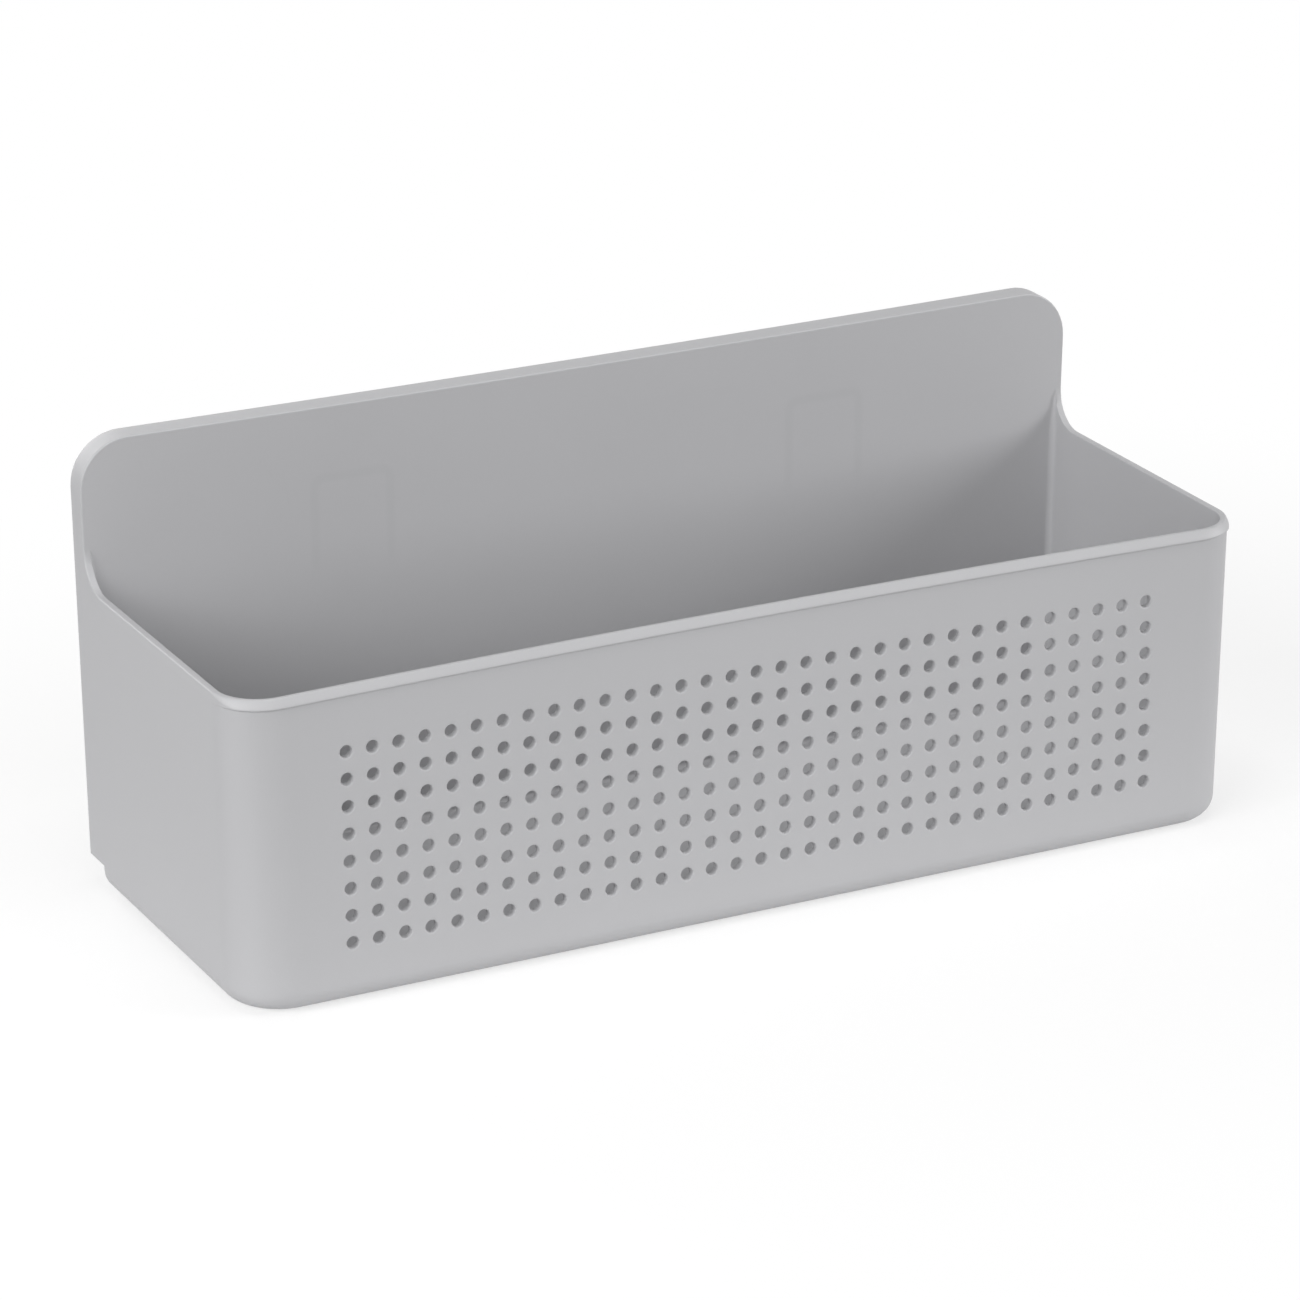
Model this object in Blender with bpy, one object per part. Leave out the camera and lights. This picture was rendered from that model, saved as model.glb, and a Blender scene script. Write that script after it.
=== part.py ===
# An organizer bin with a perforated front and a raised back plate. Two hangers slide up into pockets
# behind the plate, and each carries an adhesive pad for the wall and the liner that covers the pad.
# Metres, +Z up, the front towards -Y. Shapes are drawn with y counted back from the front's foot.
import math

import bmesh
import bpy
from mathutils import Matrix, Vector

# The bin's shell
bin_width = 0.3206  # across the side walls, at the foot
bin_depth = 0.1155  # from the front's foot to the flange's rear edge
front_height = 0.093
plate_rise = 0.043  # how far the back plate stands above the rim
wall = 0.0022
floor_thickness = 0.0022
side_flare = 0.00135  # how far each side wall leans out between the foot and the rim
front_lean = 0.0017  # how far the front leans back at the rim, at its two ends
front_bow = 0.004  # how much further the rim is drawn in at mid-span
front_corner_radius = 0.015  # at the rim
front_corner_easing = 0.0025  # how much rounder the front corners are at the foot
foot_edge_radius = 0.006  # the lower edge, all round the underside
rear_corner_easing = 0.0005  # how much rounder the rear corners below the flange are than that edge
inner_corner_radius = 0.002  # where the side walls meet the back plate, inside
rim_lip_height = 0.003
rim_lip_proud = 0.0006
rim_lip_undercut = 0.0003  # height of the step under the lip
lip_fade_share = 0.6  # of the front corner's depth, over which the lip fades away
sweep_radius = 0.011  # the side wall's rise to the back plate

# The back plate and the flange that runs back from its edge
flange_start = 0.0078  # height of the flange's lower ends
plate_thickness = 0.0022
plate_corner_radius = 0.015

# The perforation
hole_diameter = 0.0038
hole_pitch = 0.008
hole_sides = 8
side_margin = 0.027  # least plain width left at each end of the front
foot_margin = 0.014  # plain height below the lowest row's cells
rim_margin = 0.0148  # least plain height above the highest row's cells

# The pockets behind the plate, open at the bottom
pocket_spacing = 0.156  # between the two pockets' centre lines
pocket_width = 0.026
pocket_height = 0.032
pocket_drop = 0.021  # from the plate's top down to the pocket's top
pocket_corner_radius = 0.004
pocket_rib = 0.002  # thickness of the pocket's walls
pocket_lip_reach = 0.003  # how far the lips reach in over the tongue
pocket_lip_thickness = 0.0012
rib_end_radius = 0.001

# The hangers
tongue_thickness = 0.0018
tongue_height = 0.026
base_width = 0.036
base_height = 0.06
base_thickness = 0.002
base_rise = 0.0035  # how far the base stands above the pocket's top
base_corner_radius = 0.006

# The pads and their liners
pad_inset = 0.001  # from the edge of the hanger's base
pad_thickness = 0.0011
pad_proud = 0.0015  # how far the pad stands out behind the flange
liner_thickness = 0.0003
tab_width = 0.014
tab_length = 0.007
tab_corner_radius = 0.003

# Clearances and cuts
running_gap = 0.0003  # between pieces that touch or slide
fused_depth = 0.001  # how deep one shape starts inside another that it is moulded in one with
overrun = 0.01  # how far a cut runs past what it cuts
arc_steps = 6  # segments in a quarter turn
edge_steps = 4  # segments in the foot's rounding
inner_steps = 3  # segments in the roundings inside the bin
crease_degrees = 35  # edges sharper than this stay crisp

# Colour and roughness of each material
finishes = {
    "bin_plastic": ((0.45, 0.45, 0.46), 0.5),
    "hanger_plastic": ((0.72, 0.72, 0.71), 0.45),
    "pad_foam": ((0.78, 0.78, 0.76), 0.9),
    "liner_film": ((0.78, 0.66, 0.38), 0.35),
}

# How deep the pocket, the hanger's base and the pad are together, which sets the flange's depth
pocket_depth = running_gap + tongue_thickness + running_gap + pocket_lip_thickness
backing_depth = running_gap + base_thickness + running_gap + pad_thickness
flange_depth = plate_thickness + pocket_depth + backing_depth - pad_proud

# Where the layers lie behind the front's foot
plate_front = bin_depth - flange_depth
plate_rear = plate_front + plate_thickness
tongue_front = plate_rear + running_gap
tongue_rear = tongue_front + tongue_thickness
lip_front = tongue_rear + running_gap
lip_rear = lip_front + pocket_lip_thickness
base_front = lip_rear + running_gap
base_rear = base_front + base_thickness
pad_front = base_rear + running_gap
pad_rear = pad_front + pad_thickness
liner_front = pad_rear + running_gap
liner_rear = liner_front + liner_thickness
overall_depth = liner_rear
sweep_start = plate_front - sweep_radius
lip_foot = front_height - rim_lip_height
rear_corner_radius = foot_edge_radius + rear_corner_easing

# Heights and half widths behind the plate
back_height = front_height + plate_rise
pocket_top = back_height - pocket_drop
base_top = pocket_top + base_rise
base_foot = base_top - base_height
pad_top = base_top - pad_inset
pad_foot = base_foot + pad_inset
pad_half = base_width / 2 - pad_inset
tongue_top = pocket_top - pocket_rib - running_gap
tongue_foot = tongue_top - tongue_height

# The grid of holes, and the edges of the strips between its columns
hole_columns = int((bin_width - 2 * side_margin) / hole_pitch)
hole_rows = int((front_height - foot_margin - rim_margin) / hole_pitch)
column_edges = [(i - hole_columns / 2) * hole_pitch for i in range(hole_columns + 1)]


def clear_scene():
    for obj in list(bpy.data.objects):
        bpy.data.objects.remove(obj, do_unlink=True)


def arc(centre, radius, start, end, steps=arc_steps):
    # Points on an arc, with the angles in degrees
    points = []
    for i in range(steps + 1):
        angle = math.radians(start + (end - start) * i / steps)
        points.append((centre[0] + radius * math.cos(angle), centre[1] + radius * math.sin(angle)))
    return points


def rounded_plate(half, foot, top, top_radius, foot_radius):
    # Outline of an upright plate, centred on x = 0, anticlockwise from its lower left corner
    return (
        arc((-half + foot_radius, foot + foot_radius), foot_radius, 180, 270)
        + arc((half - foot_radius, foot + foot_radius), foot_radius, 270, 360)
        + arc((half - top_radius, top - top_radius), top_radius, 0, 90)
        + arc((-half + top_radius, top - top_radius), top_radius, 90, 180)
    )


def solid_through(rings):
    # A closed solid through rings with the same number of points
    bm = bmesh.new()
    loops = [[bm.verts.new(point) for point in ring] for ring in rings]
    for low, high in zip(loops, loops[1:]):
        for i, vert in enumerate(low):
            after = (i + 1) % len(low)
            bm.faces.new((vert, low[after], high[after], high[i]))
    bm.faces.new(list(reversed(loops[0])))
    bm.faces.new(loops[-1])
    bmesh.ops.recalc_face_normals(bm, faces=bm.faces)
    return bm


def upright_prism(outline, near, far, centre=0.0):
    # An outline in x and z, drawn through in y
    return solid_through([[(centre + x, y, z) for x, z in outline] for y in (near, far)])


def sideways_prism(outline, half_length):
    # An outline in y and z, drawn through in x
    return solid_through([[(x, y, z) for y, z in outline] for x in (-half_length, half_length)])


def joined(solids):
    # Several separate solids in one mesh
    whole = bmesh.new()
    for bm in solids:
        mesh = bpy.data.meshes.new("joined")
        bm.to_mesh(mesh)
        bm.free()
        whole.from_mesh(mesh)
        bpy.data.meshes.remove(mesh)
    return whole


def bench_object(name, bm):
    mesh = bpy.data.meshes.new(name)
    bm.to_mesh(mesh)
    bm.free()
    obj = bpy.data.objects.new(name, mesh)
    bpy.context.collection.objects.link(obj)
    return obj


def shaped(base, steps):
    # The mesh left after each (operation, solid) step has been applied to the base in turn
    work = bench_object("work", base)
    tools = []
    for operation, solid in steps:
        tool = bench_object("tool", solid)
        tool.hide_render = True
        tool.display_type = "WIRE"
        modifier = work.modifiers.new(operation.lower(), "BOOLEAN")
        modifier.operation = operation
        modifier.object = tool
        modifier.solver = "EXACT"
        tools.append(tool)
    bpy.context.view_layer.update()
    depsgraph = bpy.context.evaluated_depsgraph_get()
    mesh = bpy.data.meshes.new_from_object(work.evaluated_get(depsgraph))
    bm = bmesh.new()
    bm.from_mesh(mesh)
    bpy.data.meshes.remove(mesh)
    for obj in tools + [work]:
        bpy.data.objects.remove(obj, do_unlink=True)
    return bm


def material(node, finish):
    colour, roughness = finishes[finish]
    made = bpy.data.materials.new(node + "_" + finish)
    made.use_nodes = True
    shader = made.node_tree.nodes["Principled BSDF"]
    shader.inputs["Base Color"].default_value = (*colour, 1.0)
    shader.inputs["Roughness"].default_value = roughness
    shader.inputs["Metallic"].default_value = 0.0
    return made


def piece(name, bm, pivot, finish, parent=None):
    # The finished object, with its origin at the pivot
    pivot = Vector(pivot)
    bmesh.ops.transform(bm, matrix=Matrix.Translation(-pivot), verts=bm.verts)
    obj = bench_object(name, bm)
    obj.data.materials.append(material(name, finish))
    obj.data.shade_smooth()
    obj.data.set_sharp_from_angle(angle=math.radians(crease_degrees))
    obj.location = pivot - Vector((0, overall_depth / 2, 0))
    if parent:
        obj.parent = parent
        obj.location -= parent.location
    return obj


def half_width(z):
    return bin_width / 2 + side_flare * z / front_height


def corner_radius(z):
    # The front corners, seen from above
    return front_corner_radius + front_corner_easing * (1 - z / front_height)


def plan_ring(z, inset=0.0, rear=bin_depth, rear_radius=0.0):
    # The bin's outline at a height, drawn in by the inset, with the front in strips between the hole columns
    half = half_width(z) - inset
    radius = corner_radius(z) - inset
    right = arc((half - radius, inset + radius), radius, 270, 360) + [(half, sweep_start)]
    if rear_radius:
        right += arc((half - rear_radius, rear - rear_radius), rear_radius, 0, 90, inner_steps)
    else:
        right.append((half, rear))
    left = [(-x, y) for x, y in reversed(right)]
    front = [(x, inset) for x in column_edges]
    return [(x, y, z) for x, y in front + right + left]


def lip_ring(z):
    # The same let out by the rim's lip, which fades away round the front corners
    radius = corner_radius(z)
    ring = []
    for plain, proud in zip(plan_ring(z), plan_ring(z, -rim_lip_proud)):
        fade = min(1.0, max(0.0, (1 - plain[1] / radius) / lip_fade_share))
        ring.append(tuple(a + (b - a) * fade for a, b in zip(plain, proud)))
    return ring


def rounding(radius, steps):
    # Height above a rounded edge's lowest line, and how far in from its side, from the bottom up
    return [(radius - height, radius - across) for across, height in arc((0, 0), radius, 90, 0, steps)]


def bin_block():
    # The solid block, with its foot's edge rounded and the step under the rim's lip
    rings = [plan_ring(z, inset) for z, inset in rounding(foot_edge_radius, edge_steps)]
    return solid_through(rings + [
        plan_ring(lip_foot - rim_lip_undercut),
        lip_ring(lip_foot),
        lip_ring(back_height),
    ])


def above_rim():
    # What is cut away above the front and sides, ending in the sweep up to the plate
    rise = arc((sweep_start, front_height + sweep_radius), sweep_radius, 270, 360)
    top = back_height + overrun
    outline = [(-overrun, front_height)] + rise + [(plate_front, top), (-overrun, top)]
    return sideways_prism(outline, bin_width)


def cavity():
    # Its floor is rounded up into the walls all round, to follow the foot's edge
    rings = []
    for rise, inset in rounding(foot_edge_radius - wall, inner_steps):
        rings.append(plan_ring(floor_thickness + rise, wall + inset, plate_front - inset, inner_corner_radius))
    rings.append(plan_ring(back_height + overrun, wall, plate_front, inner_corner_radius))
    return solid_through(rings)


def plate_corner(side):
    # What is cut off each top corner of the plate and flange
    tangent_height = back_height - plate_corner_radius
    edge = half_width(tangent_height)
    curve = arc((edge - plate_corner_radius, tangent_height), plate_corner_radius, 0, 90)
    top = back_height + overrun
    outline = curve + [(edge - plate_corner_radius, top), (edge + overrun, top), (edge + overrun, tangent_height)]
    return upright_prism([(side * x, z) for x, z in outline], -overrun, bin_depth + overrun)


def rear_recess():
    # The space behind the plate inside the flange, and everything behind the tub below the flange
    tangent_height = back_height - plate_corner_radius
    radius = plate_corner_radius - wall
    edge = half_width(tangent_height) - wall
    right = [
        (bin_width, -overrun),
        (bin_width, flange_start),
        (half_width(flange_start) - wall, flange_start),
    ] + arc((edge - radius, tangent_height), radius, 0, 90)
    left = [(-x, z) for x, z in reversed(right)]
    return upright_prism(right + left, plate_rear, bin_depth + overrun)


def rear_foot():
    # What is cut off behind the tub below the flange, with rounded corners and a rounded lower edge
    levels = rounding(foot_edge_radius, edge_steps)
    levels = [(-overrun, foot_edge_radius)] + levels + [(flange_start, 0.0)]
    tangent = plate_rear - rear_corner_radius
    rings = []
    for z, inset in levels:
        edge = half_width(z)
        curve = arc((edge - rear_corner_radius, tangent), rear_corner_radius - inset, 90, 0)
        right = curve + [(edge + overrun, tangent), (edge + overrun, bin_depth + overrun)]
        left = [(-x, y) for x, y in reversed(right)]
        rings.append([(x, y, z) for x, y in left + right])
    return solid_through(rings)


def pocket(centre):
    # An upturned U of ribs behind the plate, with lips that reach in over the hanger's tongue
    half = pocket_width / 2
    foot = pocket_top - pocket_height
    block = upright_prism(
        rounded_plate(half, foot, pocket_top, pocket_corner_radius, rib_end_radius),
        plate_rear - fused_depth, lip_rear, centre)
    channel_half = half - pocket_rib
    channel_top = pocket_top - pocket_rib
    channel = upright_prism(
        rounded_plate(channel_half, foot - overrun, channel_top, pocket_corner_radius - pocket_rib, rib_end_radius),
        plate_rear, lip_front, centre)
    mouth_half = channel_half - pocket_lip_reach
    mouth_top = channel_top - pocket_lip_reach
    mouth = upright_prism(
        rounded_plate(mouth_half, foot - overrun, mouth_top, rib_end_radius, rib_end_radius),
        lip_front - fused_depth, lip_rear + overrun, centre)
    return shaped(block, [("DIFFERENCE", channel), ("DIFFERENCE", mouth)])


def holes():
    # One prism for each hole of the front
    drills = []
    radius = hole_diameter / 2
    for row in range(hole_rows):
        z = foot_margin + (row + 1 / 2) * hole_pitch
        for column in range(hole_columns):
            x = (column - (hole_columns - 1) / 2) * hole_pitch
            ring = []
            for corner in range(hole_sides):
                angle = 2 * math.pi * (corner + 1 / 2) / hole_sides
                ring.append((x + radius * math.cos(angle), z + radius * math.sin(angle)))
            drills.append(upright_prism(ring, -overrun, wall + overrun))
    return joined(drills)


def lean_and_bow(bm):
    # Draws the front back towards the rim, from above the foot's edge and most at mid-span, and the sides with it
    for vert in bm.verts:
        x, y, z = vert.co
        across = max(0.0, 1 - (x / (bin_width / 2)) ** 2)
        ahead = max(0.0, 1 - max(0.0, y) / plate_front)
        rise = max(0.0, z - foot_edge_radius) / (front_height - foot_edge_radius)
        vert.co.y += (front_lean + front_bow * across) * rise * ahead


def make_bin():
    steps = [
        ("DIFFERENCE", above_rim()),
        ("DIFFERENCE", cavity()),
        ("DIFFERENCE", plate_corner(1)),
        ("DIFFERENCE", plate_corner(-1)),
        ("DIFFERENCE", rear_recess()),
        ("DIFFERENCE", rear_foot()),
        ("UNION", pocket(-pocket_spacing / 2)),
        ("UNION", pocket(pocket_spacing / 2)),
        ("DIFFERENCE", holes()),
    ]
    shell = shaped(bin_block(), steps)
    lean_and_bow(shell)
    return piece("bin", shell, (0, overall_depth / 2, 0), "bin_plastic")


def make_hanger(name, centre):
    # The tongue fits the pocket, the stem passes between its lips, and the base carries the pad
    tongue_half = pocket_width / 2 - pocket_rib - running_gap
    stem_half = tongue_half - pocket_lip_reach
    stem_top = tongue_top - pocket_lip_reach
    tongue_radius = pocket_corner_radius - pocket_rib - running_gap
    tongue = upright_prism(
        rounded_plate(tongue_half, tongue_foot, tongue_top, tongue_radius, tongue_radius),
        tongue_front, tongue_rear, centre)
    stem = upright_prism(
        rounded_plate(stem_half, tongue_foot + tongue_radius, stem_top, tongue_radius, tongue_radius),
        tongue_rear - fused_depth, base_front + fused_depth, centre)
    base = upright_prism(
        rounded_plate(base_width / 2, base_foot, base_top, base_corner_radius, base_corner_radius),
        base_front, base_rear, centre)
    hanger = shaped(base, [("UNION", stem), ("UNION", tongue)])
    return piece(name, hanger, (centre, base_front, tongue_top), "hanger_plastic")


def make_pad(name, centre, hanger):
    radius = base_corner_radius - pad_inset
    pad = upright_prism(
        rounded_plate(pad_half, pad_foot, pad_top, radius, radius), pad_front, pad_rear, centre)
    return piece(name, pad, (centre, pad_front, pad_top), "pad_foam", hanger)


def make_liner(name, centre, hanger):
    # The liner covers the pad, and its pull tab hangs below
    radius = base_corner_radius - pad_inset
    sheet = rounded_plate(pad_half, pad_foot, pad_top, radius, radius)
    tab_half = tab_width / 2
    tab_foot = pad_foot - tab_length
    tab = [(-tab_half, pad_foot)] + arc(
        (-tab_half + tab_corner_radius, tab_foot + tab_corner_radius), tab_corner_radius, 180, 270
    ) + arc(
        (tab_half - tab_corner_radius, tab_foot + tab_corner_radius), tab_corner_radius, 270, 360
    ) + [(tab_half, pad_foot)]
    quarter = arc_steps + 1
    outline = sheet[:quarter] + tab + sheet[quarter:]
    liner = upright_prism(outline, liner_front, liner_rear, centre)
    hinge = (centre, (liner_front + liner_rear) / 2, pad_top)
    return piece(name, liner, hinge, "liner_film", hanger)


def build():
    clear_scene()
    make_bin()
    for label, side in (("left", -1), ("right", 1)):
        centre = side * pocket_spacing / 2
        hanger = make_hanger("hanger_" + label, centre)
        make_pad("adhesive_pad_" + label, centre, hanger)
        make_liner("release_liner_" + label, centre, hanger)


build()
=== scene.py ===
import math

import bmesh
import bpy
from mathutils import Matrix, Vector


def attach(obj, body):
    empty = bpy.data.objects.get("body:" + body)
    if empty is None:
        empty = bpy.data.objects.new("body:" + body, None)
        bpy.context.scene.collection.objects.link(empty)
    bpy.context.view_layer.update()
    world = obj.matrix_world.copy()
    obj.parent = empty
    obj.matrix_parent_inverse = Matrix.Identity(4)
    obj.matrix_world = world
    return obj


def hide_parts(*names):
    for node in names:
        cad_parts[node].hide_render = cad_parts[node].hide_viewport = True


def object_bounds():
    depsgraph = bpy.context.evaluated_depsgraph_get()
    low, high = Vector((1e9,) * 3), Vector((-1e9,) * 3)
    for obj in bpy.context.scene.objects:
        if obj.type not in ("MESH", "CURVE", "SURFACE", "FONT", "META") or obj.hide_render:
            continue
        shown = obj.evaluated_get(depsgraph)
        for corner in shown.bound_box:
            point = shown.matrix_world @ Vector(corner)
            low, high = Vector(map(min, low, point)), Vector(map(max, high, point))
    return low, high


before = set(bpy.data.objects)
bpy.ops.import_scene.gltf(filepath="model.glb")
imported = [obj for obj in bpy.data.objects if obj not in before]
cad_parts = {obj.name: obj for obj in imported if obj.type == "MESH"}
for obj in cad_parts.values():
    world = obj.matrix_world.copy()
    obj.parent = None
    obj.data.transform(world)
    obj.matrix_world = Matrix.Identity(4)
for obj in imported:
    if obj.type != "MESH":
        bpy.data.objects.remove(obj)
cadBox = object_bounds()
print("frame loaded:", sorted(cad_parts))

# Meshes are drawn in millimetres, with y from the front's foot, then brought to metres and the
# frame's middle
millimetre = 0.001
halfDepth = (cadBox[1].y - cadBox[0].y) / 2
mergeDistance = 0.002  # points nearer than this become one
slack = 0.001  # the error allowed where two lengths are compared


def lerp(a, b, t):
    return a + (b - a) * t


def arc(centre, radius, start, end, steps):
    # Points on an arc, angles in degrees
    made = []
    for i in range(steps + 1):
        angle = math.radians(lerp(start, end, i / steps))
        made.append((centre[0] + radius * math.cos(angle), centre[1] + radius * math.sin(angle)))
    return made


def quarterRound(steps):
    # Points round an edge, as shares of its radius: the first falls from 1 to 0 while the second rises to 1
    made = []
    for i in range(steps + 1):
        t = math.radians(90 * i / steps)
        made.append((1 - math.sin(t), 1 - math.cos(t)))
    return made


def mirrored(points):
    # The same points across the middle plane, in the other order
    return [(-x, *others) for x, *others in reversed(points)]


def newObject(name, data):
    obj = bpy.data.objects.new(name, data)
    bpy.context.scene.collection.objects.link(obj)
    return obj


class Skin:
    # A mesh under construction: grids of points, flat faces, and how worn each point is

    def __init__(self):
        self.bm = bmesh.new()
        self.wear = self.bm.verts.layers.float.new("edgeWear")

    def point(self, co, wear=0.0):
        vert = self.bm.verts.new(co)
        vert[self.wear] = wear
        return vert

    def face(self, points, wear=0.0):
        return self.bm.faces.new([self.point(p, wear) for p in points])

    def grid(self, rows, wears=None, closed=False, skip=None):
        # Quads between successive rows of points
        wears = wears or [0.0] * len(rows)
        verts = [[self.point(p, w) for p in row] for row, w in zip(rows, wears)]
        count = len(rows[0])
        for r in range(len(rows) - 1):
            for c in range(count if closed else count - 1):
                if skip and skip(r, c):
                    continue
                n = (c + 1) % count
                self.bm.faces.new([verts[r][c], verts[r][n], verts[r + 1][n], verts[r + 1][c]])

    def merge(self):
        bmesh.ops.remove_doubles(self.bm, verts=self.bm.verts, dist=mergeDistance)

    def toMesh(self, name):
        bmesh.ops.recalc_face_normals(self.bm, faces=self.bm.faces)
        mesh = bpy.data.meshes.new(name)
        self.bm.to_mesh(mesh)
        self.bm.free()
        return mesh

    def finished(self, name, material, bend=None, creaseDegrees=38):
        # Brings the mesh to metres and the frame's place, and makes an object of it
        bm = self.bm
        self.merge()
        bmesh.ops.dissolve_degenerate(bm, edges=bm.edges, dist=mergeDistance / 4)
        loose = [v for v in bm.verts if not v.link_faces]
        bmesh.ops.delete(bm, geom=loose, context="VERTS")
        openEdges = sum(1 for e in bm.edges if len(e.link_faces) != 2)
        for vert in bm.verts:
            x, y, z = bend(*vert.co) if bend else vert.co
            vert.co = (x * millimetre, y * millimetre - halfDepth, z * millimetre)
        mesh = self.toMesh(name)
        mesh.materials.append(material)
        mesh.shade_smooth()
        mesh.set_sharp_from_angle(angle=math.radians(creaseDegrees))
        obj = newObject(name, mesh)
        steady = obj.modifiers.new("steadyNormals", "WEIGHTED_NORMAL")
        steady.keep_sharp = True
        steady.weight = 80  # larger faces count for more
        print(name, "faces", len(mesh.polygons), "open edges", openEdges)
        return obj


# The bin's sizes, in millimetres
binSizes = {
    "footWidth": 320.6,
    "depth": 115.5,
    "frontHeight": 93.0,
    "plateRise": 43.0,
    "wall": 2.2,
    "floorThickness": 2.2,
    "sideFlare": 1.35,
    "frontLean": 1.7,
    "frontBow": 4.0,
    "frontCorner": 15.0,
    "cornerEasing": 2.5,  # how much rounder the front corners are at the foot
    "footRound": 6.0,  # the lower edge, all round the underside
    "rearCorner": 6.5,  # the tub's rear corners, below the flange
    "plateFront": 107.5,
    "plateThickness": 2.2,
    "plateCorner": 15.0,
    "plateSag": 0.8,  # dip of the plate's long top edge at mid-span
    "plateEndLift": 0.3,
    "flangeStart": 7.8,
    "sweep": 11.0,
    "lipHeight": 2.8,
    "lipProud": 0.6,
    "lipUndercut": 0.3,
    "lipFadeShare": 0.6,  # of the front corner's depth, over which the lip fades away
    "bevelIn": 1.15,  # how far in the front rim's bevel reaches
    "bevelDown": 2.4,  # and how far down
    "edgeRound": 0.5,  # along the side rims and round the plate
    "innerRound": 0.4,  # the inner edges of the rim and of the flange
    "insideCorner": 2.0,  # upright corners between the side walls and the plate
    "floorRound": 1.2,
    "flangeRound": 0.5,
}
# How rubbed its edges are, from 0 to 1
binWear = {
    "rimFaces": 0.2,  # beside the rim's edge
    "rimEdge": 1.0,
    "rimInside": 0.5,
    "footEdge": 0.4,
    "underside": 0.3,
}
# How finely it is drawn: steps in each curve, and the places of plain lines
binMesh = {
    "frontCorner": 14,
    "frontColumns": (136.5, 140.5),  # upright lines between the perforated field and the corner
    "sideShares": (0.12, 0.3, 0.5, 0.7, 0.87, 1.0),  # along the side, from the corner to the sweep
    "skirtShares": (0.0, 0.2, 0.4, 0.82, 1.0),  # from the sweep's start to the flange
    "sweep": 10,
    "rimInside": 3,
    "insideCorner": 4,
    "rearCorner": 8,
    "foot": 8,
    "floor": 4,
    "plateCorner": 12,
    "spine": 6,
}
s = binSizes
backHeight = s["frontHeight"] + s["plateRise"]
plateRear = s["plateFront"] + s["plateThickness"]
sweepStart = s["plateFront"] - s["sweep"]
bandStart = s["plateFront"] + s["edgeRound"]
skirtTop = s["frontHeight"] - s["lipHeight"] - s["lipUndercut"]
sweepTop = s["frontHeight"] + s["sweep"]
cornerHeight = backHeight - s["plateCorner"]

# The perforated field of the front
perforation = {
    "columns": 33,
    "rows": 8,
    "pitch": 8.0,
    "bore": 3.5,
    "rearBore": 3.4,  # the holes narrow a little towards the inside
    "edgeRound": 0.75,
    "segments": 16,
    "footMargin": 14.0,
    "mouthWear": (0.1, 0.6, 0.2),  # over the rounded mouth
    "rearWear": 0.1,
}
fieldHalf = perforation["columns"] * perforation["pitch"] / 2
fieldFoot = perforation["footMargin"]
fieldTop = fieldFoot + perforation["rows"] * perforation["pitch"]
fieldRows = [fieldFoot + perforation["pitch"] * i for i in range(perforation["rows"] + 1)]
plainRow = lerp(fieldTop, skirtTop, 0.5)  # an extra row of faces above the holes


def halfWidth(z):
    return s["footWidth"] / 2 + s["sideFlare"] * z / s["frontHeight"]


def frontCornerAt(z):
    return s["frontCorner"] + s["cornerEasing"] * (1 - z / s["frontHeight"])


plateEdge = halfWidth(cornerHeight)  # half width where the plate's top corners start
spineEnd = plateEdge - s["plateCorner"]
spineSteps = binMesh["spine"]  # on either side of the middle
spine = [spineEnd * i / spineSteps for i in range(-spineSteps, spineSteps + 1)]  # the plate's upright lines


def leanAndBow(x, y, z):
    # The front leans back and bows in towards its rim, and the plate's top edge sags
    across = max(0.0, 1 - (x / (s["footWidth"] / 2)) ** 2)
    ahead = max(0.0, 1 - max(0.0, y) / s["plateFront"])
    rise = max(0.0, z - s["footRound"]) / (s["frontHeight"] - s["footRound"])
    raised = max(0.0, z - s["frontHeight"]) / s["plateRise"]
    y += (s["frontLean"] + s["frontBow"] * across) * rise * ahead
    return x, y, z + (s["plateEndLift"] - s["plateSag"] * across) * raised


def rightStations():
    # Places along the right half of the rim, from the middle of the front to the sweep
    made = []
    x = perforation["pitch"] / 2
    while x <= fieldHalf + slack:
        made.append(("front", x))
        x += perforation["pitch"]
    steps = binMesh["frontCorner"]
    made += [("front", x) for x in binMesh["frontColumns"]]
    made += [("corner", 270 + 90 * i / steps) for i in range(steps + 1)]
    made += [("side", lerp(s["frontCorner"], sweepStart, t)) for t in binMesh["sideShares"]]
    return made


halfStations = rightStations()
stations = [(kind, value, -1) for kind, value in reversed(halfStations)]
stations += [(kind, value, 1) for kind, value in halfStations]


def planPoint(station, inset, z):
    kind, value, side = station
    flare = halfWidth(z) - halfWidth(0)
    if kind == "front":
        return (side * (value + (flare if value > fieldHalf + slack else 0)), inset, z)
    if kind == "corner":
        outer = frontCornerAt(z)
        angle = math.radians(value)
        x = halfWidth(z) - outer + (outer - inset) * math.cos(angle)
        return (side * x, outer + (outer - inset) * math.sin(angle), z)
    return (side * (halfWidth(z) - inset), value, z)


def lipFade(station):
    # The lip fades away round the front corners
    y = planPoint(station, 0, s["frontHeight"])[1]
    return min(1.0, max(0.0, (1 - y / s["frontCorner"]) / s["lipFadeShare"]))


sweepSteps = binMesh["sweep"]
sweepHalf = sweepSteps // 2  # the steps that run down to the skirt, while the others run to the rear line


def skirtLine(rearEnd, skirtY):
    # Points that the sweep's steps run to: back along the skirt, then up the rear line
    line = [(y, skirtTop) for y in skirtY]
    for k in range(1, sweepHalf + 1):
        z = lerp(skirtTop, sweepTop, k / sweepHalf)
        line.append((rearEnd(z), z))
    return line


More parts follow.
